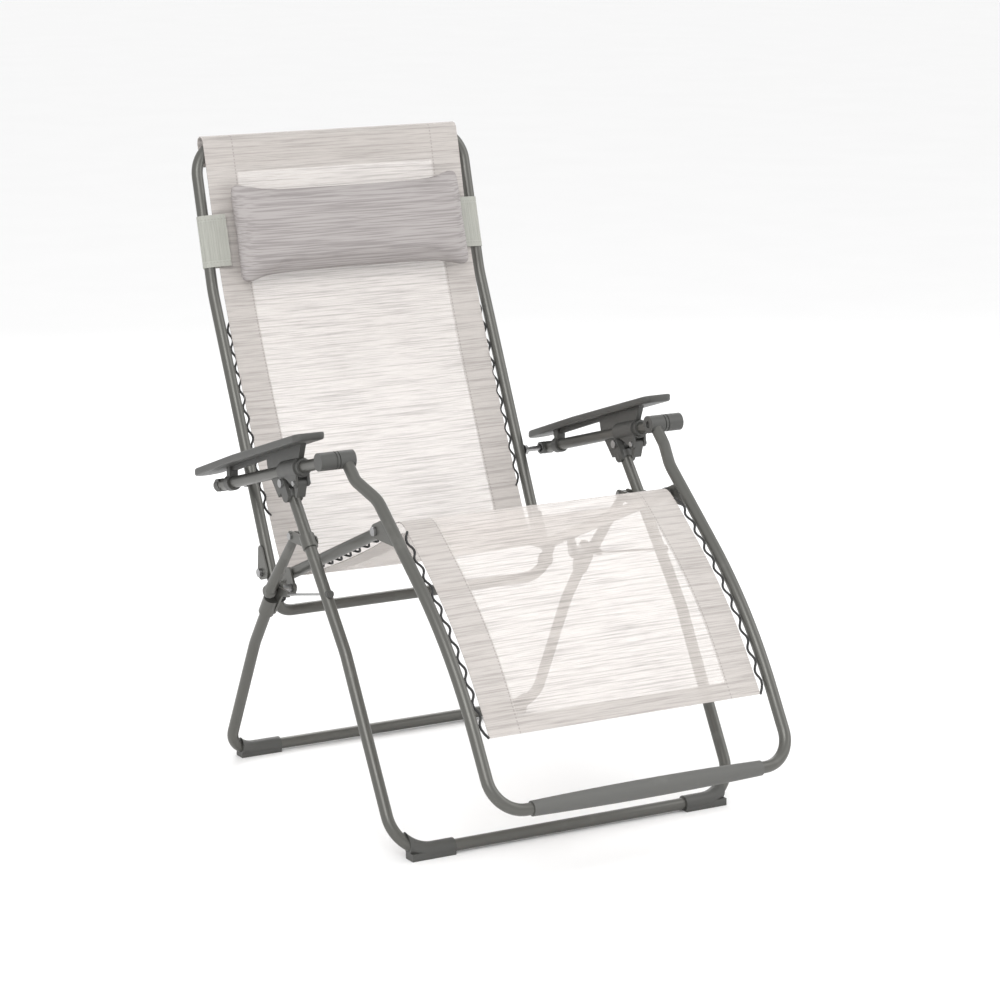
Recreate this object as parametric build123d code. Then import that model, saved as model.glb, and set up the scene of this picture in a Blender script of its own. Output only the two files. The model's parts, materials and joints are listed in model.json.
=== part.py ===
from build123d import *
from math import cos, hypot, pi, sin
import os

# Zero gravity recliner. Millimetres, +Z up, origin on the floor under the middle of the chair.
# The sitter faces -Y. X = 0 is the plane of symmetry: left is +X, right is -X.
# Points of the side view are pairs (Y, Z).

# ---- tubes -------------------------------------------------------------------------------------
TUBE_R = 10.0
TUBE_WALL = 1.5
FIT = 0.05  # radial gap of a running fit, and of a bracket that lies against a tube
SLIDE = 0.3  # radial gap of the sliding rail in its clamp

CENTRE_Y = 1.7  # the chair's middle in the side view below; every piece is written from there

# ---- floor frame -------------------------------------------------------------------------------
FRONT_X = 325.0  # half width of the front floor frame, to the tube's middle
REAR_X = 314.0
LINK_X = 322.0
BAR_Z = 12.5  # height of the floor bars
FRONT_CORNER = 65.0
REAR_CORNER = 50.0
FRONT_BAR = (-304.0, BAR_Z)
FRONT_BEND = (-132.0, 307.0)
FRONT_TOP = (56.8, 540.0)
REAR_BAR = (352.0, BAR_Z)
REAR_BEND = (234.0, 240.0)
SEAT_PIVOT = (155.5, 350.0)  # rear leg, upper link and seat turn about this line
LINK_TOP = (52.0, 468.0)
LINK_R = (7.5, 10.5)  # at its top and at its foot
EYE_R = 12.5
STAY_FRONT = (-63.0, 392.0)
STAY_REAR = (110.0, 352.0)
STAY_R = 2.0
BOLT_R = 4.0

# ---- seat --------------------------------------------------------------------------------------
SEAT_X = 268.0
SEAT_SLOPE = -0.425
SEAT_MID = (-3.4, 447.0)
SEAT_ENDS = (-169.0, 236.0)  # Y of the rail's front and rear ends
FRONT_HINGE = (-158.0, 512.7)  # leg frame on the seat
REAR_HINGE = (274.0, 352.0)  # back frame on the seat
CROSSBAR = (250.0, 285.0)
CROSSBAR_CORNER = 34.0
RISER_Y = 212.0  # where the crossbar's risers meet the rails

# ---- back --------------------------------------------------------------------------------------
BACK_X = 269.0
BACK_FOOT = (253.1, 345.0)
BACK_BEND = (475.7, 816.0)
BACK_TOP = (547.7, 1071.0)
BACK_CORNER = 60.0

# ---- leg rest ----------------------------------------------------------------------------------
KNEE_PIVOT = (-84.0, 619.5)  # leg frame on the sliding rail
LEG_X = 278.0
LEG_ROUTE = ((297.0, KNEE_PIVOT), (296.5, (-117.0, 590.0)), (279.5, (-162.0, 564.0)), (LEG_X, (-406.5, 365.8)))
LEG_FOOT = (-543.0, 140.0)
LEG_BENDS = (28.0, 60.0, 800.0)
LEG_CORNER = 55.0
GRIP_X = 214.0

# ---- arms --------------------------------------------------------------------------------------
RAIL_X = 328.0
RAIL_PIN = (327.8, 503.0)  # back frame on the sliding rail
ARM_PIVOT = (67.0, 556.0)
WEB_X = (323.0, 333.0)
ARM_CHEEKS_X = ((311.6, 322.4), (333.6, 340.0))
ARM_CHEEK_R = 9.4
CLAMP_T = (102.0, 165.0)  # reach of the clamp along the rail, from the knee pivot
REAR_RING_T = (374.0, 390.0)
LEVER_T = 112.0
LEVER_DROP = 25.0
LEVER_PIN_R = 2.5
ARMREST_X = (307.0, 365.0)
ARMREST_TOP = ((-38.0, 660.0), (160.0, 598.0), (380.0, 523.0))
ARMREST_THICK = 13.0
BARREL_R = 15.0
SLEEVE_X = (313.5, 347.5)
BARREL_X = (284.0, 312.0)

# ---- sling -------------------------------------------------------------------------------------
SLING_X = 246.0
LEG_SLING_X = 254.0
CLOTH = 4.0
CORD_R = 1.75
LACE_PITCH = 37.0
PILLOW = (464.0, 50.0, 180.0)  # across, thick, along the back
PILLOW_MID_Z = 907.0

SIDES = {"left": 1, "right": -1}


# ---- helpers -----------------------------------------------------------------------------------
def at(x, point):
    """The point of the side view at width x."""
    return Vector(x, point[0], point[1])


def between(start, end, share):
    """The point a share of the way from start to end in the side view."""
    return tuple(a + share * (b - a) for a, b in zip(start, end))


def heading(start, end):
    """Unit direction from start to end in the side view."""
    run = hypot(end[0] - start[0], end[1] - start[1])
    return ((end[0] - start[0]) / run, (end[1] - start[1]) / run)


def shifted(point, direction, distance):
    """The point moved a distance along a direction of the side view."""
    return (point[0] + distance * direction[0], point[1] + distance * direction[1])


def rod(points, radius, corners=0.0, wall=None):
    """A round bar, or a tube with a wall, along straight runs joined by arcs."""
    path = FilletPolyline(*points, radius=corners) if len(points) > 2 else Polyline(*points)
    section = Circle(radius) if wall is None else Circle(radius) - Circle(radius - wall)
    return sweep(Plane(path @ 0, z_dir=path % 0) * section, path=path)


def tube(points, corners=0.0):
    """A frame tube along the points."""
    return rod(points, TUBE_R, corners, TUBE_WALL)


def pin(x0, x1, point, radius):
    """A cylinder along X from x0 to x1 at a point of the side view."""
    middle = at((x0 + x1) / 2, point)
    return Pos(middle) * Rot(0, 90, 0) * Cylinder(radius, abs(x1 - x0))


def plate(x0, x1, *discs):
    """A flat plate from x0 to x1 whose outline is the hull of discs (point, radius)."""
    rims = [Pos(point[0], point[1]) * Circle(radius) for point, radius in discs]
    outline = make_hull([edge for rim in rims for edge in rim.edges()])
    return Plane(origin=(x0, 0, 0), x_dir=(0, 1, 0), z_dir=(1, 0, 0)) * extrude(outline, x1 - x0)


def strip(points, thickness, half_width):
    """A sheet of even thickness that follows points of the side view, across the whole width."""
    sides = [[], []]
    for k, point in enumerate(points):
        along = heading(points[max(k - 1, 0)], points[min(k + 1, len(points) - 1)])
        for side, sign in zip(sides, (1, -1)):
            side.append(shifted(point, (-along[1], along[0]), sign * thickness / 2))
    outline = make_face(Polyline(*sides[0], *reversed(sides[1]), close=True))
    start = Plane(origin=(-half_width, 0, 0), x_dir=(0, 1, 0), z_dir=(1, 0, 0))
    return start * extrude(outline, 2 * half_width)


def arc_points(start, through, end, count):
    """Points spread evenly along an arc of the side view."""
    arc = ThreePointArc(start, through, end)
    return [tuple(arc @ (k / (count - 1)))[:2] for k in range(count)]


def mirrored(shape):
    return mirror(shape, about=Plane.YZ)


def pair(shape):
    """The left piece and its mirror image on the right."""
    return [shape, mirrored(shape)]


def on_side(shape, side):
    return shape if side > 0 else mirrored(shape)


def save(name, *shapes):
    """Write the solids of one node."""
    solids = [Pos(0, -CENTRE_Y, 0) * solid for shape in shapes for solid in shape.solids()]
    export_step(solids[0] if len(solids) == 1 else Compound(children=solids), f"parts/{name}.step")


def u_route(side_points):
    """Points of a U-shaped frame: down the right side, across, and up the left side."""
    right = [at(-x, point) for x, point in side_points]
    left = [at(x, point) for x, point in reversed(side_points)]
    return right + left


def seat_line(y):
    return (y, SEAT_MID[1] + SEAT_SLOPE * (y - SEAT_MID[0]))


RAIL_DIR = heading(KNEE_PIVOT, RAIL_PIN)
RAIL_UP = (-RAIL_DIR[1], RAIL_DIR[0])
RAIL_LENGTH = hypot(RAIL_PIN[0] - KNEE_PIVOT[0], RAIL_PIN[1] - KNEE_PIVOT[1])
UPPER_BACK = heading(BACK_BEND, BACK_TOP)
SITTER_SIDE = (-UPPER_BACK[1], UPPER_BACK[0])
LEVER_PIVOT = shifted(shifted(KNEE_PIVOT, RAIL_DIR, LEVER_T), RAIL_UP, -LEVER_DROP)


def rail_point(t):
    return shifted(KNEE_PIVOT, RAIL_DIR, t)


def rail_rod(t0, t1, radius):
    """A cylinder on the rail's line between two reaches from the knee pivot."""
    return rod([at(RAIL_X, rail_point(t0)), at(RAIL_X, rail_point(t1))], radius)


# ---- floor frame: front legs, links, stays and arm sockets ---------------------------------------
def shoes(route, corners, bar, x0, x1):
    """Moulded feet clipped on a floor bar near its corners, flat underneath."""
    wrap = rod(route, TUBE_R + 3.5, corners)
    foot = Pos((x0 + x1) / 2, bar[0], BAR_Z / 2) * Box(x1 - x0, 24, BAR_Z)
    reach = Pos((x0 + x1) / 2, bar[0], 32) * Box(x1 - x0, 90, 64)
    shoe = (wrap & reach) + foot - rod(route, TUBE_R + FIT, corners)
    return max(shoe.solids(), key=lambda solid: solid.volume)


def front_legs():
    route = u_route([(FRONT_X, FRONT_TOP), (FRONT_X, FRONT_BEND), (FRONT_X, FRONT_BAR)])
    corners = [120.0, FRONT_CORNER, FRONT_CORNER, 120.0]
    save("front_leg_frame", tube(route, corners))
    save("front_shoes", *pair(shoes(route, corners, FRONT_BAR, 222.0, 302.0)))


def front_leg_rod():
    """The straight upper run of a front leg, with its running gap."""
    return rod([at(FRONT_X, FRONT_BEND), at(FRONT_X, FRONT_TOP)], TUBE_R + FIT)


def rear_legs():
    down = heading(SEAT_PIVOT, REAR_BEND)
    route = u_route([(REAR_X, shifted(SEAT_PIVOT, down, 18.5)), (REAR_X, REAR_BEND), (REAR_X, REAR_BAR)])
    corners = [120.0, REAR_CORNER, REAR_CORNER, 120.0]
    save("rear_leg_frame", tube(route, corners))
    save("rear_shoes", *pair(shoes(route, corners, REAR_BAR, 214.0, 292.0)))
    yoke = rod([at(REAR_X, shifted(SEAT_PIVOT, down, s)) for s in (18.0, 55.0)], 13.5)
    yoke += plate(302.8, 307.0, (SEAT_PIVOT, 16.0), (shifted(SEAT_PIVOT, down, 44.0), 12.5))
    yoke -= rod([at(REAR_X, shifted(SEAT_PIVOT, down, s)) for s in (18.4, 80.0)], TUBE_R + FIT)
    yoke -= pin(295, 335, SEAT_PIVOT, BOLT_R + FIT)
    save("rear_leg_yokes", *pair(yoke))


def links():
    """Tapered links from the front legs down to the seat pivot, with their brackets and bolts."""
    down = heading(LINK_TOP, SEAT_PIVOT)
    run = hypot(SEAT_PIVOT[0] - LINK_TOP[0], SEAT_PIVOT[1] - LINK_TOP[1])
    top = Plane(at(LINK_X, LINK_TOP), z_dir=(0, down[0], down[1]))
    foot = Plane(at(LINK_X, SEAT_PIVOT), z_dir=(0, down[0], down[1]))
    link = loft([top * Circle(LINK_R[0]), foot * Circle(LINK_R[1])])
    link += Pos(at(LINK_X, LINK_TOP)) * Sphere(LINK_R[0]) + Pos(at(LINK_X, SEAT_PIVOT)) * Sphere(EYE_R)
    link &= Pos(at(LINK_X, between(LINK_TOP, SEAT_PIVOT, 0.5))) * Box(20.0, 2 * run, 2 * run)
    link -= pin(LINK_X - 20, LINK_X + 9, SEAT_PIVOT, BOLT_R) + pin(LINK_X - 20, LINK_X + 20, LINK_TOP, 3.0)
    save("upper_links", *pair(link))
    along = heading(FRONT_BEND, FRONT_TOP)
    leg_side = shifted(FRONT_TOP, along, -92.5)
    bracket = rod([at(FRONT_X, shifted(leg_side, along, s)) for s in (-12.0, 12.0)], 13.0)
    for x0 in (LINK_X - 10.6, LINK_X + 8.0):
        bracket += plate(x0, x0 + 2.6, (LINK_TOP, 9.0), (leg_side, 9.0))
    bracket -= front_leg_rod() + pin(LINK_X - 20, LINK_X + 20, LINK_TOP, 3.0)
    save("link_brackets", *pair(max(bracket.solids(), key=lambda solid: solid.volume)))
    bolt = pin(LINK_X - 13.6, LINK_X + 13.6, LINK_TOP, 3.0)
    for x0, x1 in ((-13.6, -10.6), (10.6, 13.6)):
        bolt += pin(LINK_X + x0, LINK_X + x1, LINK_TOP, 6.0)
    save("link_bolts", *pair(bolt))


def seat_pivot_bolts():
    """Bolts through lug, spacer, rear leg and stay plate into the link's eye."""
    bolt = pin(273.0, LINK_X + 9, SEAT_PIVOT, BOLT_R)
    for x0, x1 in ((273.0, 277.7), (282.4, 302.4)):
        bolt += pin(x0, x1, SEAT_PIVOT, 7.0)
    save("seat_pivot_bolts", *pair(bolt))


def stays():
    """Wire stays from an anchor plate at the seat pivot to the front legs, with screwed caps."""
    along = heading(STAY_REAR, STAY_FRONT)
    stay = rod([at(309.5, STAY_REAR), at(FRONT_X, STAY_FRONT)], STAY_R)
    trimmed = (stay - front_leg_rod()).solids().sort_by(Axis.Y)[-1]
    save("stays", *pair(trimmed))
    anchor = plate(307.6, 311.4, (SEAT_PIVOT, 9.0), (STAY_REAR, 5.0))
    save("stay_anchors", *pair(anchor - pin(300, 320, SEAT_PIVOT, BOLT_R) - stay))
    cap = rod([at(FRONT_X, shifted(STAY_FRONT, along, s)) for s in (4.0, 17.0)], 6.5)
    save("stay_caps", *pair(cap - front_leg_rod()))


def arm_sockets():
    """Sockets on the front legs' tops, with two cheeks that carry the arm."""
    up = heading(FRONT_BEND, FRONT_TOP)
    socket = rod([at(FRONT_X, shifted(FRONT_TOP, up, s)) for s in (-10.3, 2.0)], 14.0)
    for x0, x1 in ARM_CHEEKS_X:
        socket += plate(x0, x1, (ARM_PIVOT, ARM_CHEEK_R), (shifted(FRONT_TOP, up, -4.0), 11.5))
    leg = rod([at(FRONT_X, shifted(FRONT_TOP, up, s)) for s in (-80.0, 0.0)], TUBE_R + FIT)
    save("arm_sockets", *pair(socket - leg - pin(300, 350, ARM_PIVOT, BOLT_R)))
    inner, outer = ARM_CHEEKS_X
    bolt = pin(inner[0] - 4, outer[1] + 4, ARM_PIVOT, BOLT_R)
    bolt += pin(inner[0] - 4, inner[0], ARM_PIVOT, 7.0) + pin(outer[1], outer[1] + 4, ARM_PIVOT, 7.0)
    save("arm_pivot_bolts", *pair(bolt))


# ---- seat ----------------------------------------------------------------------------------------
def seat_rod(radius):
    return rod([at(SEAT_X, seat_line(y)) for y in SEAT_ENDS], radius)


def seat_frame():
    front, rear = (at(SEAT_X, seat_line(y)) for y in SEAT_ENDS)
    hinge_hole = pin(240, 300, FRONT_HINGE, BOLT_R)
    save("seat_rails", *pair(tube([front, rear]) - hinge_hole))
    risers = u_route([(SEAT_X, seat_line(RISER_Y)), (SEAT_X, CROSSBAR)])
    crossbar = tube(risers, [CROSSBAR_CORNER] * 2)
    for weld in pair(seat_rod(TUBE_R + FIT)):
        crossbar -= weld
    save("seat_crossbar", max(crossbar.solids(), key=lambda solid: solid.volume))
    lug = plate(278.15, 281.9, (SEAT_PIVOT, 14.0), (seat_line(165.0), 9.0))
    save("seat_pivot_lugs", *pair(lug - pin(270, 290, SEAT_PIVOT, BOLT_R + FIT)))
    rear_plate = plate(254.0, 257.9, (REAR_HINGE, 12.0), (seat_line(222.0), 9.0))
    save("seat_rear_plates", *pair(rear_plate - pin(245, 265, REAR_HINGE, BOLT_R)))
    along = heading(seat_line(0.0), seat_line(1.0))
    for name, y, sign in (("seat_front_plugs", SEAT_ENDS[0], -1), ("seat_rear_plugs", SEAT_ENDS[1], 1)):
        plug = rod([at(SEAT_X, shifted(seat_line(y), along, sign * s)) for s in (0.0, 2.5)], TUBE_R)
        save(name, *pair(plug - rod(risers, TUBE_R + FIT, [CROSSBAR_CORNER] * 2)))


def seat_bolts():
    """Hinge bolts of the leg rest in front and of the back behind."""
    front = pin(254.0, 288.5, FRONT_HINGE, BOLT_R) + pin(253.5, 257.9, FRONT_HINGE, 7.0)
    front += pin(284.2, 288.5, FRONT_HINGE, 7.5)
    rear = pin(250.0, 287.0, REAR_HINGE, BOLT_R) + pin(249.5, 253.9, REAR_HINGE, 7.0)
    rear += pin(282.2, 287.0, REAR_HINGE, 7.5)
    save("seat_hinge_bolts", *pair(front), *pair(rear))


def crossbar_windings():
    """Turns of cord wound round the crossbar's risers."""
    top = seat_line(RISER_Y)
    down = heading(top, CROSSBAR)
    rings = []
    for k in range(3):
        plane = Plane(at(SEAT_X, shifted(top, down, 37.0 + 3.8 * k)), z_dir=(0, down[0], down[1]))
        rings.append(plane * Torus(TUBE_R + 1.9, 1.8))
    save("crossbar_windings", *[solid for ring in rings for solid in pair(ring)])


# ---- back ----------------------------------------------------------------------------------------
def back_frame():
    sides = [(BACK_X, BACK_FOOT), (BACK_X, BACK_BEND), (BACK_X, BACK_TOP)]
    save("back_frame", tube(u_route(sides), [200.0, BACK_CORNER, BACK_CORNER, 200.0]))
    hinge_plate = plate(279.1, 281.7, (REAR_HINGE, 12.5), (between(BACK_FOOT, BACK_BEND, 0.02), 10.0),
                        (between(BACK_FOOT, BACK_BEND, 0.10), 8.0))
    save("back_hinge_plates", *pair(hinge_plate - pin(270, 290, REAR_HINGE, BOLT_R + FIT)))
    up = heading(BACK_FOOT, BACK_BEND)
    foot = [at(BACK_X, shifted(BACK_FOOT, up, s)) for s in (-2.5, 0.0)]
    save("back_foot_plugs", *pair(rod(foot, TUBE_R)))
    stub = pin(279.0 + FIT, 322.0, RAIL_PIN, 4.5) + pin(279.0 + FIT, 284.0, RAIL_PIN, 9.0)
    save("rail_pins", *pair(stub))


# ---- leg rest --------------------------------------------------------------------------------------
def shin(shares):
    """Points of the leg frame's side view, by share of the way from its upper bend to its foot."""
    line = FilletPolyline(LEG_ROUTE[2][1], LEG_ROUTE[3][1], LEG_FOOT, radius=LEG_BENDS[2])
    return [tuple(line @ share)[:2] for share in shares]


def leg_frame():
    route = u_route(list(LEG_ROUTE) + [(LEG_X, LEG_FOOT)])
    corners = list(LEG_BENDS) + [LEG_CORNER, LEG_CORNER] + list(reversed(LEG_BENDS))
    frame = tube(route, corners)
    for barrel in pair(pin(BARREL_X[0], BARREL_X[1], KNEE_PIVOT, BARREL_R + FIT)):
        frame -= barrel
    frame = max(frame.solids(), key=lambda solid: solid.volume)
    save("leg_frame", frame)
    upper, lower = shin((0.08, 0.16))
    hinge_plate = plate(279.6, 283.6, (FRONT_HINGE, 12.0), (upper, 7.0), (lower, 6.0))
    hinge_plate -= rod(route, TUBE_R + FIT, corners)
    hinge_plate = max(hinge_plate.solids(), key=lambda solid: solid.volume)
    save("leg_hinge_plates", *pair(hinge_plate - pin(270, 295, FRONT_HINGE, BOLT_R + FIT)))
    barrel = pin(*BARREL_X, KNEE_PIVOT, BARREL_R) - pin(BARREL_X[0] - 1, BARREL_X[0] + 4, KNEE_PIVOT, 6.0)
    save("leg_barrels", *pair(barrel))
    save("knee_pins", *pair(pin(BARREL_X[1], SLEEVE_X[1] - 7.0, KNEE_PIVOT, 4.0)))


def heel_grip():
    """Bulged grip on the leg rest's cross bar."""
    with BuildPart() as grip:
        with BuildSketch(Plane.XY):
            with BuildLine():
                bulge = ThreePointArc((-GRIP_X, 12.5), (0, 15.5), (GRIP_X, 12.5))
                Polyline(bulge @ 1, (GRIP_X, TUBE_R + FIT), (-GRIP_X, TUBE_R + FIT), bulge @ 0)
            make_face()
        revolve(axis=Axis.X)
    save("heel_grip", Pos(at(0, LEG_FOOT)) * grip.part)


# ---- arms ------------------------------------------------------------------------------------------
def armrest():
    front, middle, rear = ARMREST_TOP
    top = ThreePointArc(front, middle, rear)
    low = [(y, z - ARMREST_THICK) for y, z in ARMREST_TOP]
    under = ThreePointArc(*low)
    outline = make_face(Curve() + [top, Line(rear, low[2]), under, Line(low[0], front)])
    x0, x1 = ARMREST_X
    body = Plane(origin=(x0, 0, 0), x_dir=(0, 1, 0), z_dir=(1, 0, 0)) * extrude(outline, x1 - x0)
    half = (x1 - x0) / 2
    length = rear[0] - front[0]
    plan = Pos(x0 + half, (front[0] + rear[0]) / 2) * Rectangle(2 * half, length)
    corners = plan.vertices().sort_by(Axis.Y)
    plan = fillet(corners[:2], 14.0)
    plan = fillet(plan.vertices().sort_by(Axis.Y)[-2:], half - 1.0)
    return body & extrude(Pos(0, 0, 400) * plan, 400)


def arm_housing():
    """Clamp, web and rear ring that carry the armrest and guide the sliding rail."""
    side_view = Plane(origin=(0, 0, 0), x_dir=(0, 1, 0), z_dir=(1, 0, 0))
    housing = rail_rod(*CLAMP_T, 17.0) + rail_rod(CLAMP_T[0] - 10.0, CLAMP_T[0], 14.0)
    web = Polyline((0, 650), (20, 596), (50, 573), (56, 549), (74, 545), (92.5, 526), (132, 565), (145, 610),
                   close=True)
    spine = Polyline((120, 625), (120, 590), (300, 529), (300, 570), close=True)
    for outline, (x0, x1) in ((web, WEB_X), (spine, (RAIL_X - 3, RAIL_X + 3))):
        housing += Pos(x0, 0, 0) * (side_view * extrude(make_face(outline), x1 - x0))
    housing += plate(*WEB_X, (ARM_PIVOT, 10.0), (rail_point(150.0), 12.0))
    for x0, x1 in ARM_CHEEKS_X:
        housing -= pin(x0 - 0.6, x1 + 0.6, ARM_PIVOT, ARM_CHEEK_R + 0.8)
    housing += rail_rod(*REAR_RING_T, 14.0)
    ring_middle = rail_point(sum(REAR_RING_T) / 2)
    housing += Pos(at(RAIL_X, (ring_middle[0], ring_middle[1] + 20.0))) * Box(16.0, 12.0, 30.0)
    under_clamp = [(shifted(rail_point(t), RAIL_UP, -9.0), 3.0) for t in (105.0, 146.0)]
    for x0 in (RAIL_X - 13.0, RAIL_X + 8.6):
        housing += plate(x0, x0 + 4.4, (LEVER_PIVOT, 7.0), *under_clamp)
    housing -= rail_rod(-50.0, RAIL_LENGTH + 150.0, TUBE_R + SLIDE)
    housing -= pin(300, 350, ARM_PIVOT, BOLT_R + FIT) + pin(300, 350, LEVER_PIVOT, LEVER_PIN_R)
    under = [(y, z - ARMREST_THICK) for y, z in ARMREST_TOP]
    front, rear = (under[0][0], 760.0), (under[-1][0], 760.0)
    above = make_face(Curve() + [ThreePointArc(*under), Polyline(under[-1], rear, front, under[0])])
    return housing - Pos(290, 0, 0) * (side_view * extrude(above, 80))


def arm(name, side):
    save(f"armrest_{name}", on_side(armrest(), side))
    save(f"arm_housing_{name}", on_side(arm_housing(), side))
    x0, x1 = RAIL_X - 16.0, RAIL_X + 16.0
    lever_pin = pin(x0, x1, LEVER_PIVOT, LEVER_PIN_R)
    lever_pin += pin(x0, x0 + 3.0, LEVER_PIVOT, 4.5) + pin(x1 - 3.0, x1, LEVER_PIVOT, 4.5)
    save(f"lever_pin_{name}", on_side(lever_pin, side))
    heel = shifted(LEVER_PIVOT, (1.0, 0.0), 7.0)
    tip = (LEVER_PIVOT[0] + 4.0, LEVER_PIVOT[1] - 22.0)
    lever = plate(RAIL_X - 8.0, RAIL_X + 8.0, (LEVER_PIVOT, 6.0), (heel, 4.0), (tip, 3.5))
    save(f"lock_lever_{name}", on_side(lever - pin(300, 350, LEVER_PIVOT, LEVER_PIN_R + FIT), side))


def sliding_rail(name, side):
    sleeve = pin(*SLEEVE_X, KNEE_PIVOT, BARREL_R)
    sleeve -= pin(SLEEVE_X[0] - 1, SLEEVE_X[1] - 5.0, KNEE_PIVOT, 7.2)
    groove = pin(SLEEVE_X[0] + 4.0, SLEEVE_X[0] + 6.5, KNEE_PIVOT, BARREL_R + 5)
    sleeve -= groove - pin(*SLEEVE_X, KNEE_PIVOT, BARREL_R - 1.2)
    save(f"rail_sleeve_{name}", on_side(sleeve, side))
    ends = [at(RAIL_X, rail_point(t)) for t in (5.0, RAIL_LENGTH - 6.0)]
    rail = tube(ends) - pin(SLEEVE_X[0] - 5, SLEEVE_X[1] + 5, KNEE_PIVOT, BARREL_R + FIT)
    save(f"sliding_rail_{name}", on_side(rail, side))
    cap = rail_rod(RAIL_LENGTH - 6.0, RAIL_LENGTH + 11.0, TUBE_R + 1)
    cap += pin(RAIL_X - 15.0, RAIL_X + 9.0, RAIL_PIN, 11.0)
    cap -= rail_rod(RAIL_LENGTH - 40.0, RAIL_LENGTH - 6.0, TUBE_R + FIT)
    save(f"rail_cap_{name}", on_side(cap - pin(RAIL_X - 16.0, RAIL_X - 5.0, RAIL_PIN, 7.2), side))


# ---- sling, pillow and lacing ----------------------------------------------------------------------
def seat_arc(count=15):
    """Side view of the seat's fabric, hanging below the rails."""
    return arc_points((-152.0, 500.0), (30.0, 414.0), (232.0, 346.0), count)


def sling():
    drop = 42.0
    crown = TUBE_R + CLOTH / 2 + 0.3
    over = [(BACK_TOP[0] + crown * cos(a) * SITTER_SIDE[0] + crown * sin(a) * UPPER_BACK[0],
             BACK_TOP[1] + crown * cos(a) * SITTER_SIDE[1] + crown * sin(a) * UPPER_BACK[1])
            for a in (pi * k / 8 for k in range(9))]
    face = shifted(over[0], UPPER_BACK, -drop)
    flap = shifted(over[-1], UPPER_BACK, -drop)
    lumbar = shifted(BACK_BEND, (-1.0, 0.3), 4.0)
    lower = between(BACK_FOOT, BACK_BEND, 0.085)
    save("back_panel", strip([lower, lumbar, face, *over, flap], CLOTH, SLING_X))
    save("seat_panel", strip(seat_arc(), CLOTH, SLING_X))
    fall = shin([0.12 + 0.67 * k / 12 for k in range(13)])
    save("leg_panel", strip([(-174.0, 526.0), (-191.0, 532.0), *fall], CLOTH, LEG_SLING_X))


def pillow():
    share = (PILLOW_MID_Z - BACK_BEND[1]) / (BACK_TOP[1] - BACK_BEND[1])
    rest = between(BACK_BEND, BACK_TOP, share)
    width, thick, tall = PILLOW
    middle = shifted(rest, SITTER_SIDE, TUBE_R + 4.0 + thick / 2)
    frame = Plane(at(0, middle), x_dir=(1, 0, 0), z_dir=(0, UPPER_BACK[0], UPPER_BACK[1]))
    pad = Box(width, thick, tall)
    pad = fillet(pad.edges().filter_by(Axis.X), 18.0)
    save("pillow", frame * pad)
    reach = 11.6
    turn = [(BACK_X + reach * cos(a), reach * sin(a)) for a in (pi * (0.5 - k / 8) for k in range(9))]
    route = [(width / 2 + 1.0, 15.0), *turn, (240.0, -8.0)]
    sides = [[], []]
    for k, point in enumerate(route):
        along = heading(route[max(k - 1, 0)], route[min(k + 1, len(route) - 1)])
        for side, sign in zip(sides, (1, -1)):
            side.append(shifted(point, (-along[1], along[0]), sign * 0.8))
    band = extrude(make_face(Polyline(*sides[0], *reversed(sides[1]), close=True)), 92.0)
    strap_frame = Plane(at(0, shifted(rest, UPPER_BACK, -46.0)), x_dir=(1, 0, 0),
                        z_dir=(0, UPPER_BACK[0], UPPER_BACK[1]))
    toward_sitter = strap_frame.y_dir.dot(Vector(0, *SITTER_SIDE))
    band = band if toward_sitter > 0 else mirror(band, about=Plane.XZ)
    for name, side in SIDES.items():
        save(f"pillow_strap_{name}", on_side(strap_frame * band, side))


def lace(x_cloth, x_tube, cloth_points, tube_points):
    """A cord that zigzags between the cloth's edge and the tube."""
    route = []
    for k, (cloth_point, tube_point) in enumerate(zip(cloth_points, tube_points)):
        route.append(at(x_cloth, cloth_point) if k % 2 == 0 else at(x_tube, tube_point))
    return rod(route, CORD_R, [6.0] * (len(route) - 2))


def stations(start, end):
    """Evenly spaced points half a lacing pitch apart."""
    run = hypot(end[0] - start[0], end[1] - start[1])
    count = round(run / (LACE_PITCH / 2))
    return [between(start, end, k / count) for k in range(count + 1)]


def lacing():
    back = stations(between(BACK_FOOT, BACK_BEND, 0.09), between(BACK_FOOT, BACK_BEND, 0.79))
    shins = shin([0.16 + 0.61 * k / 38 for k in range(39)])
    rails = stations(seat_line(-110.0), seat_line(185.0))
    cloth_arc = seat_arc(61)
    under = [min(cloth_arc, key=lambda point, y=rail[0]: abs(point[0] - y)) for rail in rails]
    under = [(y, z + 1.0) for y, z in under]
    rail_low = [(y, z - 8.0) for y, z in rails]
    for name, side in SIDES.items():
        save(f"back_lacing_{name}", on_side(lace(249.6, 256.6, back, back), side))
        save(f"leg_lacing_{name}", on_side(lace(257.8, 265.4, shins, shins), side))
        save(f"seat_lacing_{name}", on_side(lace(249.6, 256.2, under, rail_low), side))


os.makedirs("parts", exist_ok=True)
front_legs()
rear_legs()
links()
seat_pivot_bolts()
stays()
arm_sockets()
seat_frame()
seat_bolts()
crossbar_windings()
back_frame()
leg_frame()
heel_grip()
for side_name, side_sign in SIDES.items():
    arm(side_name, side_sign)
    sliding_rail(side_name, side_sign)
sling()
pillow()
lacing()
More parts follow.
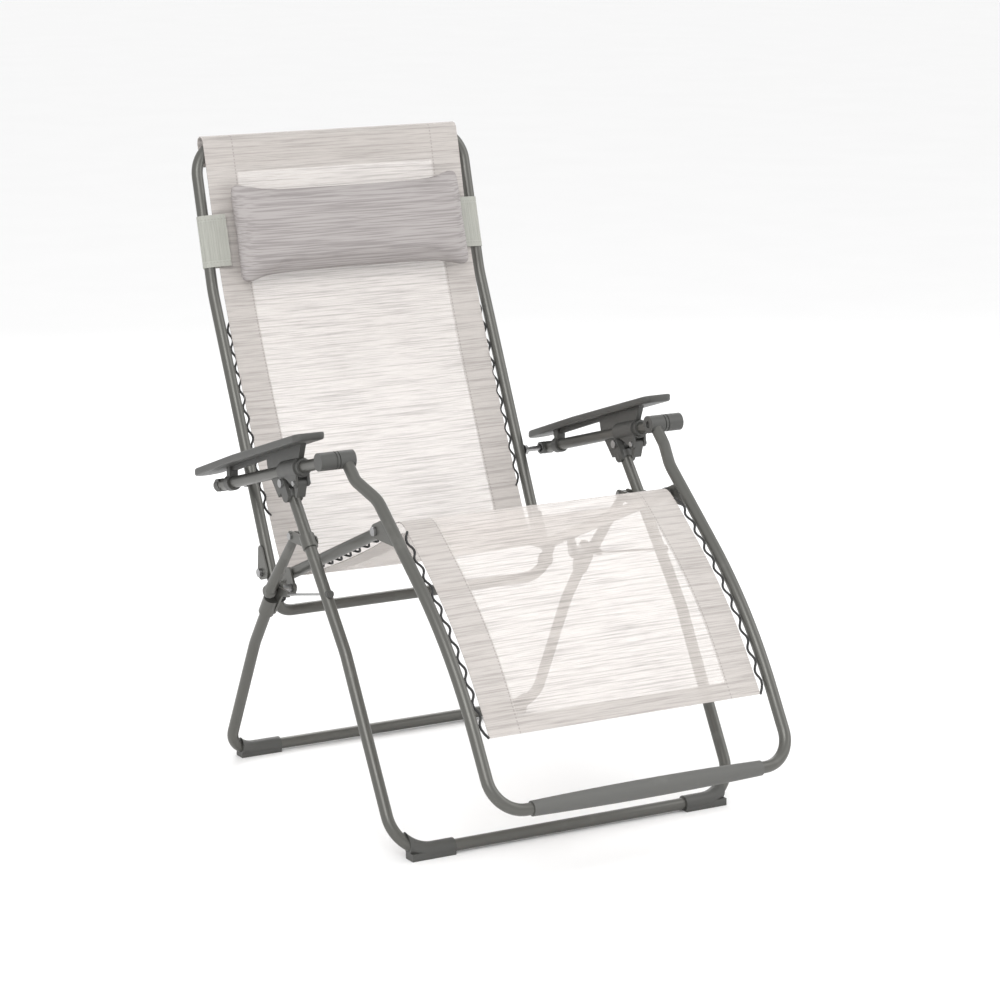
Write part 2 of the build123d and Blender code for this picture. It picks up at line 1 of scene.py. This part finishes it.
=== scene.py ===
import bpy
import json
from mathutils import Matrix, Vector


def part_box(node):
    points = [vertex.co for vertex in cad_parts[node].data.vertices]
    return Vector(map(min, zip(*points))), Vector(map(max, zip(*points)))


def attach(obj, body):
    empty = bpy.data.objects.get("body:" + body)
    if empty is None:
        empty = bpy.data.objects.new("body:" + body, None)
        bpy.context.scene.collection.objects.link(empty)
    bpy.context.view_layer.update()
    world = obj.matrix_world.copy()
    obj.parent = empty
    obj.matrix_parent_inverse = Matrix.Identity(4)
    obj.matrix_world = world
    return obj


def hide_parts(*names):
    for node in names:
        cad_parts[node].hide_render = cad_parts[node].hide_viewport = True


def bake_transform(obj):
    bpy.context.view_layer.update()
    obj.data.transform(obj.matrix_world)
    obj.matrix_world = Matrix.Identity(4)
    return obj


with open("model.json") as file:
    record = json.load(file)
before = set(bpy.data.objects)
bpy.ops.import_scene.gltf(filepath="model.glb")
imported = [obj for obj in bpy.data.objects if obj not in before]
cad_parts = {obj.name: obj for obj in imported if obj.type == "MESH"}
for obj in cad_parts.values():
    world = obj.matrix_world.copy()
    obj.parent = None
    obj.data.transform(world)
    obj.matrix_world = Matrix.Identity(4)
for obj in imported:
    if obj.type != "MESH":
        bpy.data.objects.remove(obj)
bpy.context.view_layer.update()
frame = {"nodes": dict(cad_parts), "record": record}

import json
import logging
import math
from dataclasses import dataclass
from enum import Enum
from typing import Any, Sequence, Union

import bpy
from mathutils import Matrix, Vector

log = logging.getLogger("recliner")
Colour = tuple[float, float, float, float]
Number = Union[float, "Value"]
BACK_UP = Vector((0.0, 0.2717, 0.9624))
BACK_OUT = Vector((0.0, -0.9624, 0.2717))


class Side(Enum):
    """The sitter's two sides, by the sign of X."""

    LEFT = 1
    RIGHT = -1


class Value:
    """A shader socket that takes part in Python expressions."""

    def __init__(self, shader: "Shader", socket: bpy.types.NodeSocket) -> None:
        """Keep the socket.

        Args:
            shader: The shader that the socket belongs to.
            socket: The output that is wrapped.
        """
        self.shader, self.socket = shader, socket

    def math(self, operation: str, *others: Number) -> "Value":
        """Add one Math node.

        Args:
            operation: The node's operation.
            others: Its further inputs.

        Returns:
            The result.
        """
        inputs = dict(enumerate((self, *others)))
        return self.shader.node("ShaderNodeMath", {"operation": operation}, inputs)

    def __add__(self, other: Number) -> "Value":
        """Sum."""
        return self.math("ADD", other)

    __radd__ = __add__

    def __mul__(self, other: Number) -> "Value":
        """Product."""
        return self.math("MULTIPLY", other)

    __rmul__ = __mul__

    def __sub__(self, other: Number) -> "Value":
        """Difference."""
        return self.math("SUBTRACT", other)

    def __rsub__(self, other: float) -> "Value":
        """Difference from a number."""
        return self * -1.0 + other

    def rise(self, low: float, high: float) -> "Value":
        """Smooth rise from 0 at low to 1 at high.

        Args:
            low: Where it starts.
            high: Where it ends.

        Returns:
            The rise, from 0 to 1.
        """
        ends = {"Value": self, "From Min": low, "From Max": high}
        return self.shader.node("ShaderNodeMapRange", {"interpolation_type": "SMOOTHSTEP"}, ends)


class Shader:
    """One material and the few nodes that every finish uses."""

    def __init__(self, name: str) -> None:
        """Start a material.

        Args:
            name: The material's name.
        """
        self.material = bpy.data.materials.new(name)
        self.material.use_nodes = True
        self.tree = self.material.node_tree
        self.surface = self.tree.nodes["Principled BSDF"]

    def node(self, kind: str, settings: dict[str, Any], inputs: dict[Any, Any], output: Any = 0) -> Value:
        """Add a node.

        Args:
            kind: The node's type.
            settings: Its settings, made first.
            inputs: Values or links of its sockets.
            output: The output that is returned.

        Returns:
            The chosen output.
        """
        made = self.tree.nodes.new(kind)
        for name, value in settings.items():
            setattr(made, name, value)
        for name, value in inputs.items():
            self.feed(made.inputs[name], value)
        return Value(self, made.outputs[output])

    def feed(self, socket: bpy.types.NodeSocket, value: Any) -> None:
        """Link a value to a socket, or set the socket's number.

        Args:
            socket: The input.
            value: A Value, a number or a colour.
        """
        if isinstance(value, Value):
            self.tree.links.new(value.socket, socket)
        else:
            socket.default_value = value

    def set(self, **values: Any) -> None:
        """Feed the surface's sockets, with _ for a space in their names."""
        for name, value in values.items():
            self.feed(self.surface.inputs[name.replace("_", " ")], value)

    def coordinates(self, kind: str = "Object") -> Value:
        """The piece's own coordinates, Object or UV."""
        return self.node("ShaderNodeTexCoord", {}, {}, kind)

    def noise(self, place: Value, stretch: Sequence[float], detail: float = 3.0) -> Value:
        """Noise that is stretched by its repeats per metre.

        Args:
            place: Coordinates.
            stretch: Repeats per metre along each axis.
            detail: Octaves.

        Returns:
            Noise from 0 to 1.
        """
        scaled = self.node("ShaderNodeVectorMath", {"operation": "MULTIPLY"}, {0: place, 1: tuple(stretch)})
        return self.node("ShaderNodeTexNoise", {}, {"Vector": scaled, "Scale": 1.0, "Detail": detail})

    def mix(self, share: Number, first: Any, second: Any) -> Value:
        """Colour between two colours."""
        return self.node("ShaderNodeMix", {"data_type": "RGBA"}, {0: share, 6: first, 7: second}, 2)

    def bump(self, height: Value, strength: float, distance: float) -> Value:
        """Surface relief from a height."""
        inputs = {"Height": height, "Strength": strength, "Distance": distance}
        return self.node("ShaderNodeBump", {}, inputs)


@dataclass(frozen=True)
class SolidFinish:
    """A hard finish with fine grain, slow mottling and rubbed patches."""

    name: str
    colour: Colour
    worn: Colour
    roughness: float
    metallic: float
    grain: float
    relief: float

    def material(self) -> bpy.types.Material:
        """Build the material.

        Returns:
            The finished material.
        """
        shader = Shader(self.name)
        place = shader.coordinates()
        grain = shader.noise(place, (self.grain,) * 3, 2.0)
        cloud = shader.noise(place, (22.0, 22.0, 22.0), 4.0)
        rubbed = cloud.rise(0.6, 0.74) * 0.45
        shader.set(
            Base_Color=shader.mix(rubbed + grain * 0.12, self.colour, self.worn),
            Metallic=self.metallic,
            Roughness=cloud * 0.18 + grain * 0.1 + (self.roughness - 0.14),
            Normal=shader.bump(grain, self.relief, 0.0004),
        )
        return shader.material


@dataclass(frozen=True)
class MeshFinish:
    """Coated mesh weave with slub streaks along its width and denser double hems."""

    name: str
    light: Colour
    dark: Colour
    cover: float
    hem_cover: float
    half_width: float
    hem: float
    length: float = 10.0
    end_hem: float = 0.0
    thread: float = 0.0022

    def material(self) -> bpy.types.Material:
        """Build the material on the piece's own UV map, which is in metres.

        Returns:
            The finished material.
        """
        shader = Shader(self.name)
        place = shader.coordinates("UV")
        across = shader.node("ShaderNodeSeparateXYZ", {}, {0: place}, 0)
        along = shader.node("ShaderNodeSeparateXYZ", {}, {0: place}, 1)
        turn = 2.0 * math.pi / self.thread
        weave = (across * turn).math("SINE") * (along * turn).math("SINE")
        streak = shader.noise(place, (7.0, 340.0, 1.0), 3.0).rise(0.42, 0.68)
        fine = shader.noise(place, (30.0, 1100.0, 1.0), 2.0).rise(0.4, 0.7)
        inner, end = self.half_width - self.hem, self.length - self.end_hem
        hem = across.math("ABSOLUTE").rise(inner, inner + 0.002)
        if self.end_hem:
            hem = hem.math("MAXIMUM", along.rise(end, end + 0.002))
        seam_place = across.math("ABSOLUTE") - (self.half_width - self.hem + 0.004)
        seam = 1.0 - seam_place.math("ABSOLUTE").rise(0.0006, 0.0016)
        stitches = seam * (along * (2.0 * math.pi / 0.006)).math("SINE").rise(-0.4, 0.1)
        cloth = shader.mix(streak * 0.56 + fine * 0.24, self.light, self.dark)
        cloth = shader.mix(hem * 0.36 + stitches * 0.4, cloth, self.dark)
        shader.set(
            Base_Color=cloth,
            Roughness=fine * 0.15 + 0.62,
            Alpha=weave * 0.1 + hem * (self.hem_cover - self.cover) + streak * 0.06 + self.cover,
            Normal=shader.bump(weave * 0.6 + stitches, 0.35, 0.0004),
        )
        return shader.material


@dataclass(frozen=True)
class WovenFinish:
    """Opaque cloth or cord with streaks and a plain weave, on Object coordinates."""

    name: str
    light: Colour
    dark: Colour
    streaks: tuple[float, float, float]
    thread: float

    def material(self) -> bpy.types.Material:
        """Build the material.

        Returns:
            The finished material.
        """
        shader = Shader(self.name)
        place = shader.coordinates()
        turn = 2.0 * math.pi / self.thread
        across = shader.node("ShaderNodeSeparateXYZ", {}, {0: place}, 0)
        up = shader.node("ShaderNodeSeparateXYZ", {}, {0: place}, 2)
        weave = (across * turn).math("SINE") * (up * turn).math("SINE")
        streak = shader.noise(place, self.streaks, 4.0).rise(0.4, 0.64)
        shader.set(
            Base_Color=shader.mix(streak * 0.7 + weave * 0.08, self.light, self.dark),
            Roughness=streak * 0.12 + 0.7,
            Normal=shader.bump(weave, 0.25, 0.0003),
        )
        return shader.material


def only(piece: bpy.types.Object) -> None:
    """Select one object and make it active.

    Args:
        piece: The object.
    """
    bpy.ops.object.select_all(action="DESELECT")
    piece.select_set(True)
    bpy.context.view_layer.objects.active = piece


def apply(piece: bpy.types.Object, kind: str, **settings: Any) -> None:
    """Add a modifier and apply it.

    Args:
        piece: The object.
        kind: The modifier's type.
        settings: The modifier's settings.
    """
    only(piece)
    modifier = piece.modifiers.new(kind.title(), kind)
    for name, value in settings.items():
        setattr(modifier, name, value)
    bpy.ops.object.modifier_apply(modifier=modifier.name)


def rounded(points: Sequence[Vector], times: int = 3) -> list[Vector]:
    """Round a line's corners and keep its ends.

    Args:
        points: The line.
        times: How often each corner is cut.

    Returns:
        The rounded line.
    """
    line = list(points)
    for _ in range(times):
        cut = [line[0]]
        for start, end in zip(line, line[1:]):
            cut += [start.lerp(end, 0.25), start.lerp(end, 0.75)]
        line = cut + [line[-1]]
    return line


def spaced(line: Sequence[Vector], count: int) -> tuple[list[Vector], float]:
    """Points evenly spaced along a line.

    Args:
        line: The line.
        count: How many steps it is divided into.

    Returns:
        The points, and the line's length.
    """
    reach = [0.0]
    for start, end in zip(line, line[1:]):
        reach.append(reach[-1] + (end - start).length)
    points, k = [], 0
    for step in range(count + 1):
        goal = reach[-1] * step / count
        while k < len(line) - 2 and reach[k + 1] < goal:
            k += 1
        points.append(line[k].lerp(line[k + 1], (goal - reach[k]) / (reach[k + 1] - reach[k])))
    return points, reach[-1]


@dataclass
class Ribbon:
    """A sheet of cloth of even width that follows a line."""

    name: str
    line: list[Vector]
    width: float
    across: Vector
    columns: int
    rows: int
    thickness: float = 0.0012
    sag: float = 0.0
    flare: float = 0.0
    length: float = 0.0

    def build(self) -> bpy.types.Object:
        """Model the sheet from a grid, with its UV map in metres.

        Returns:
            The sheet's object.
        """
        bpy.ops.object.select_all(action="DESELECT")
        bpy.ops.mesh.primitive_grid_add(x_subdivisions=self.columns, y_subdivisions=self.rows, size=1.0)
        piece = bpy.context.active_object
        piece.name = self.name
        points, self.length = spaced(self.line, self.rows)
        tangents = [points[min(k + 1, self.rows)] - points[max(k - 1, 0)] for k in range(self.rows + 1)]
        places = [(v.co.x, v.co.y + 0.5) for v in piece.data.vertices]
        layer = piece.data.uv_layers.active or piece.data.uv_layers.new(name="cloth")
        for loop in piece.data.loops:
            u, v = places[loop.vertex_index]
            layer.data[loop.index].uv = (u * self.width, v * self.length)
        for vertex, (u, v) in zip(piece.data.vertices, places):
            k = round(v * self.rows)
            normal = self.across.cross(tangents[k]).normalized()
            hollow = self.sag * (1.0 - (2.0 * u) ** 2) * math.sin(math.pi * v) ** 2
            half = u * self.width * (1.0 + self.flare * v)
            vertex.co = points[k] + self.across * half - normal * hollow
        apply(piece, "SOLIDIFY", thickness=self.thickness, offset=0.0)
        bpy.ops.object.shade_smooth_by_angle(angle=math.radians(50))
        return piece

    def dress(self, piece: bpy.types.Object, material: bpy.types.Material, rests_on: list[str]) -> None:
        """Give the sheet its cloth.

        Args:
            piece: The sheet's object.
            material: Its material.
            rests_on: What holds it; not used.
        """
        piece.data.materials.clear()
        piece.data.materials.append(material)
        mean_width = self.width * (1.0 + self.flare / 2)


def side_line(pairs: Sequence[tuple[float, float]]) -> list[Vector]:
    """A line in the chair's middle plane from pairs of Y and Z."""
    return [Vector((0.0, y, z)) for y, z in pairs]


@dataclass
class Sling:
    """The seat and back panel in one length, and the leg panel, with lacing along their sides."""

    half_width: float = 0.246
    leg_half_width: float = 0.254
    crown_radius: float = 0.0112
    flap: float = 0.042
    light: Colour = (0.72, 0.675, 0.64, 1.0)
    dark: Colour = (0.30, 0.275, 0.26, 1.0)
    seat: tuple[tuple[float, float], ...] = (
        (-0.154, 0.501), (-0.062, 0.456), (0.028, 0.418), (0.118, 0.384), (0.200, 0.357), (0.238, 0.351))
    back: tuple[tuple[float, float], ...] = ((0.262, 0.372), (0.284, 0.412), (0.332, 0.512), (0.470, 0.812))
    leg: tuple[tuple[float, float], ...] = (
        (-0.176, 0.526), (-0.193, 0.532), (-0.217, 0.520), (-0.300, 0.454), (-0.351, 0.408), (-0.399, 0.358),
        (-0.441, 0.304), (-0.4825, 0.243))

    def torso_line(self) -> list[Vector]:
        """The side view of the long panel, from the seat's front over the back's top bar.

        Returns:
            The line.
        """
        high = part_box("back_frame")[1]
        bar = Vector((0.0, high.y - 0.010, high.z - 0.010))
        crown = [bar + (BACK_OUT * math.cos(a) + BACK_UP * math.sin(a)) * self.crown_radius for a in
                 (math.pi * k / 8 for k in range(9))]
        lower = rounded(side_line(self.seat + self.back) + [crown[0] - BACK_UP * 0.03])
        return lower + crown + [crown[-1] - BACK_UP * self.flap]

    def build(self) -> None:
        """Model, dress and place both panels."""
        cloth = dict(light=self.light, dark=self.dark, cover=0.5, hem_cover=0.8)
        torso = Ribbon("torso_panel", self.torso_line(), 2 * self.half_width, Vector((1, 0, 0)), 24, 150, sag=0.006,
                       flare=0.04)
        piece = torso.build()
        finish = MeshFinish("torso_mesh", half_width=self.half_width, hem=0.058, length=torso.length, end_hem=0.135,
                            **cloth)
        torso.dress(piece, finish.material(), ["back_frame", "seat_rails"])
        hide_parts("back_panel", "seat_panel")
        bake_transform(piece)
        leg = Ribbon("leg_panel_cloth", rounded(side_line(self.leg)), 2 * self.leg_half_width, Vector((1, 0, 0)), 24,
                     70, sag=0.005)
        piece = leg.build()
        finish = MeshFinish("leg_mesh", half_width=self.leg_half_width, hem=0.06, length=leg.length, end_hem=0.03,
                            **cloth)
        leg.dress(piece, finish.material(), ["leg_frame"])
        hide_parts("leg_panel")
        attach(piece, "leg_rest")
        log.info("sling panels %.3f m and %.3f m long", torso.length, leg.length)


@dataclass
class Lacing:
    """Elastic cord that zigzags between a panel's edge and the frame tube beside it."""

    radius: float = 0.0021
    pitch: float = 0.0185
    cord: WovenFinish = WovenFinish("dark_braid", (0.018, 0.018, 0.018, 1.0), (0.05, 0.05, 0.05, 1.0),
                                    (600.0, 600.0, 600.0), 0.0016)

    def strand(self, name: str, edge: Sequence[Vector], tube: Sequence[Vector], side: Side) -> bpy.types.Object:
        """Model one cord.

        Args:
            name: The piece's name.
            edge: Points along the cloth's edge, in the middle plane's side view.
            tube: Points along the tube's inner side.
            side: Which side it is on.

        Returns:
            The cord's object.
        """
        count = len(edge)
        curve = bpy.data.curves.new(name, "CURVE")
        curve.dimensions = "3D"
        curve.bevel_depth, curve.bevel_resolution, curve.use_fill_caps = self.radius, 2, True
        curve.resolution_u = 4
        spline = curve.splines.new("NURBS")
        spline.points.add(count - 1)
        for k, point in enumerate(spline.points):
            place = edge[k] if k % 2 == 0 else tube[k]
            point.co = (side.value * place.x, place.y, place.z, 1.0)
        spline.order_u, spline.use_endpoint_u = 3, True
        piece = bpy.data.objects.new(name, curve)
        bpy.context.collection.objects.link(piece)
        only(piece)
        bpy.ops.object.convert(target="MESH")
        piece = bpy.context.active_object
        bpy.ops.object.shade_smooth()
        return piece

    def build(self) -> None:
        """Model, dress and place the cords on both sides."""
        material = self.cord.material()
        sling = Sling()
        runs = (
            ("back", "back", side_line([(0.300, 0.444), (0.452, 0.767)]), 0.2465, 0.2605, 0.0),
            ("seat", "seat", rounded(side_line(sling.seat))[4:-4], 0.2465, 0.2620, 0.013),
            ("leg", "leg_rest", rounded(side_line(sling.leg[2:])), 0.2545, 0.2690, 0.0),
        )
        for name, body, line, x_edge, x_tube, lift in runs:
            reach = spaced(line, 2)[1]
            points = spaced(line, 2 * round(reach / self.pitch / 2))[0]
            edge = [Vector((x_edge, p.y, p.z)) for p in points]
            tube = [Vector((x_tube, p.y, p.z + lift)) for p in points]
            for side in Side:
                label = side.name.lower()
                piece = self.strand(f"{name}_cord_{label}", edge, tube, side)
                piece.data.materials.clear()
                piece.data.materials.append(material)
                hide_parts(f"{name}_lacing_{label}")
                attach(piece, body)
        log.info("lacing along back, seat and leg rest")


@dataclass
class Pillow:
    """The head pillow: a stuffed pad held by wide straps that pass round the back's tubes."""

    width: float = 0.474
    thick: float = 0.034
    tall: float = 0.178
    lean: float = 15.77
    cap: float = 0.014
    voxel: float = 0.006
    strap_tall: float = 0.092
    light: Colour = (0.37, 0.345, 0.338, 1.0)
    dark: Colour = (0.22, 0.20, 0.197, 1.0)

    def pad(self) -> bpy.types.Object:
        """Model the pad: a box that is rounded, inflated as cloth and smoothed.

        Returns:
            The pad, upright at the origin.
        """
        bpy.ops.object.select_all(action="DESELECT")
        bpy.ops.mesh.primitive_cube_add(size=1.0)
        pad = bpy.context.active_object
        pad.name = "head_pillow"
        pad.data.transform(Matrix.Diagonal((self.width, self.thick, self.tall, 1.0)))
        apply(pad, "BEVEL", width=0.012, segments=3)
        apply(pad, "REMESH", mode="VOXEL", voxel_size=self.voxel)
        start = [v.co.copy() for v in pad.data.vertices]
        only(pad)
        cloth = pad.modifiers.new("Cloth", "CLOTH")
        cloth.settings.use_pressure = True
        cloth.settings.uniform_pressure_force = 4.0
        cloth.settings.effector_weights.gravity = 0.0
        for step in range(1, 21):
            bpy.context.scene.frame_set(step)
        bpy.ops.object.modifier_apply(modifier=cloth.name)
        bpy.context.scene.frame_set(1)
        for vertex, origin in zip(pad.data.vertices, start):
            move = vertex.co - origin
            if move.length > self.cap:
                vertex.co = origin + move.normalized() * self.cap
        for vertex in pad.data.vertices:
            across = min(abs(vertex.co.x) / (self.width / 2), 1.0)
            up = min(abs(vertex.co.z) / (self.tall / 2), 1.0)
            vertex.co.y *= (1.0 - 0.42 * up ** 3) * (1.0 - 0.25 * across ** 8)
            vertex.co.z *= 1.0 - 0.02 * (1.0 - across ** 2)
        apply(pad, "SMOOTH", factor=0.5, iterations=4)
        apply(pad, "SUBSURF", levels=1, render_levels=1)
        bpy.ops.object.shade_smooth()
        return pad

    def straps(self, middle: Vector) -> list[tuple[Ribbon, bpy.types.Object]]:
        """Model the two straps.

        Args:
            middle: The pillow's centre.

        Returns:
            Each strap and its object.
        """
        made = []
        tube_x, turn_r = 0.269, 0.0112
        behind = middle - BACK_OUT * 0.039 - BACK_UP * 0.006
        for side in Side:
            sign = float(side.value)
            route = [(0.2335, 0.0165), *((tube_x + turn_r * math.cos(a), turn_r * math.sin(a)) for a in
                     (math.pi * (0.5 - k / 8) for k in range(9))), (0.2400, -0.0085)]
            line = [behind + Vector((sign * x, 0, 0)) + BACK_OUT * depth for x, depth in route]
            ribbon = Ribbon(f"pillow_band_{side.name.lower()}", line, self.strap_tall, BACK_UP, 8, 40)
            made.append((ribbon, ribbon.build()))
        return made

    def build(self) -> None:
        """Model, dress and place pad and straps."""
        low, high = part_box("pillow")
        middle = (low + high) / 2
        pad = self.pad()
        pad.data.transform(Matrix.Translation(middle) @ Matrix.Rotation(math.radians(-self.lean), 4, "X"))
        cloth = WovenFinish("pillow_weave", self.light, self.dark, (8.0, 60.0, 420.0), 0.0022)
        pad.data.materials.clear()
        pad.data.materials.append(cloth.material())
        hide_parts("pillow")
        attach(pad, "back")
        band = MeshFinish("strap_mesh", (0.52, 0.525, 0.475, 1.0), (0.33, 0.33, 0.30, 1.0), 0.62, 0.8,
                          self.strap_tall / 2, 0.012)
        material = band.material()
        for (ribbon, piece), side in zip(self.straps(middle), Side):
            ribbon.dress(piece, material, ["back_frame", "head_pillow"])
            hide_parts(f"pillow_strap_{side.name.lower()}")
            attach(piece, "back")
        log.info("head pillow and straps")


@dataclass
class Armrests:
    """Moulded armrests with softly rounded edges."""

    edge: float = 0.0035

    def build(self, material: bpy.types.Material) -> None:
        """Round a copy of each armrest and dress it.

        Args:
            material: The moulded plastic.
        """
        for side in Side:
            label = side.name.lower()
            node = frame["nodes"][f"armrest_{label}"]
            mesh = node.data.copy()
            piece = bpy.data.objects.new(f"armrest_pad_{label}", mesh)
            bpy.context.collection.objects.link(piece)
            only(piece)
            bpy.ops.object.mode_set(mode="EDIT")
            bpy.ops.mesh.select_all(action="SELECT")
            bpy.ops.mesh.remove_doubles(threshold=0.00002)
            bpy.ops.mesh.dissolve_limited(angle_limit=math.radians(1.0))
            bpy.ops.object.mode_set(mode="OBJECT")
            apply(piece, "BEVEL", width=self.edge, segments=3, limit_method="ANGLE", angle_limit=math.radians(40))
            bpy.ops.object.shade_smooth_by_angle(angle=math.radians(35))
            piece.data.materials.clear()
            piece.data.materials.append(material)
            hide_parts(node.name)
            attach(piece, f"arm_{label}")
        log.info("armrests")


@dataclass
class Hardware:
    """Finishes of the frame's own nodes, by the record's material slots."""

    paint: SolidFinish = SolidFinish("satin_paint", (0.105, 0.104, 0.095, 1), (0.15, 0.148, 0.138, 1), 0.34, 0.5,
                                     1500.0, 0.12)
    steel: SolidFinish = SolidFinish("zinc_steel", (0.36, 0.36, 0.36, 1), (0.22, 0.22, 0.21, 1), 0.36, 0.95,
                                     900.0, 0.1)
    plastic: SolidFinish = SolidFinish("moulded_plastic", (0.062, 0.062, 0.058, 1), (0.09, 0.09, 0.085, 1), 0.46,
                                       0.0, 2600.0, 0.2)
    grip: SolidFinish = SolidFinish("soft_grip", (0.10, 0.10, 0.094, 1), (0.14, 0.14, 0.132, 1), 0.62, 0.0, 1800.0,
                                    0.3)

    def build(self) -> bpy.types.Material:
        """Dress every node that stays.

        Returns:
            The moulded plastic, which the armrests share.
        """
        slots = {entry["node"]: entry["material_slot"] for entry in frame["record"]["subparts"]}
        finishes = {"frame_paint": self.paint.material(), "bright_steel": self.steel.material(),
                    "grey_plastic": self.plastic.material(), "grip_rubber": self.grip.material(),
                    "dark_cord": Lacing().cord.material()}
        for name, node in frame["nodes"].items():
            material = finishes.get(slots.get(name, ""))
            if material is None:
                continue
            if not node.material_slots:
                node.data.materials.append(material)
            for holder in node.material_slots:
                holder.material = material
        log.info("hardware finishes")
        return finishes["grey_plastic"]


@dataclass
class Studio:
    """A pale floor, soft light and the camera."""

    place: tuple[float, float, float] = (-2.6938, -4.7736, 1.7165)
    azimuth: float = -29.924
    elevation: float = 12.562
    lens: float = 118.9

    def light(self, name: str, place: Vector, size: float, power: float) -> None:
        """Add a soft area light that faces the chair.

        Args:
            name: The light's name.
            place: Where it hangs.
            size: The side of its square.
            power: Its power in watts.
        """
        data = bpy.data.lights.new(name, "AREA")
        data.size, data.energy = size, power
        lamp = bpy.data.objects.new(name, data)
        lamp.location = place
        lamp.rotation_euler = (Vector((0.0, 0.0, 0.5)) - place).to_track_quat("-Z", "Y").to_euler()
        bpy.context.collection.objects.link(lamp)

    def build(self) -> None:
        """Set up floor, lights, world and camera."""
        bpy.ops.object.select_all(action="DESELECT")
        bpy.ops.mesh.primitive_plane_add(size=60.0)
        floor = bpy.context.active_object
        floor.name = "floor"
        shader = Shader("pale_floor")
        cloud = shader.noise(shader.coordinates(), (3.0, 3.0, 3.0))
        shader.set(Base_Color=shader.mix(cloud, (0.92, 0.92, 0.92, 1), (0.95, 0.95, 0.95, 1)), Roughness=0.9)
        floor.data.materials.append(shader.material)
        world = bpy.data.worlds.new("studio")
        world.use_nodes = True
        world.node_tree.nodes["Background"].inputs[0].default_value = (1.0, 1.0, 1.0, 1.0)
        world.node_tree.nodes["Background"].inputs[1].default_value = 1.0
        bpy.context.scene.world = world
        self.light("key", Vector((-2.2, -2.6, 3.0)), 2.2, 78.0)
        self.light("fill", Vector((3.0, -1.6, 2.4)), 2.6, 36.0)
        self.light("rim", Vector((1.2, 3.0, 2.6)), 2.0, 42.0)
        camera = bpy.data.objects.new("camera", bpy.data.cameras.new("camera"))
        camera.data.lens, camera.data.sensor_width = self.lens, 36.0
        camera.data.shift_x, camera.data.shift_y = -0.0062, 0.0042
        camera.data.clip_end = 100.0
        camera.location = self.place
        camera.rotation_euler = (math.radians(90.0 - self.elevation), 0.0, math.radians(self.azimuth))
        bpy.context.collection.objects.link(camera)
        bpy.context.scene.camera = camera
        bpy.context.scene.view_settings.view_transform = "Standard"
        log.info("studio")


def main() -> None:
    """Build the recliner's pieces in order."""
    logging.basicConfig(level=logging.INFO)
    plastic = Hardware().build()
    Armrests().build(plastic)
    Sling().build()
    Lacing().build()
    Pillow().build()
    Studio().build()


if __name__ == "__main__":
    main()
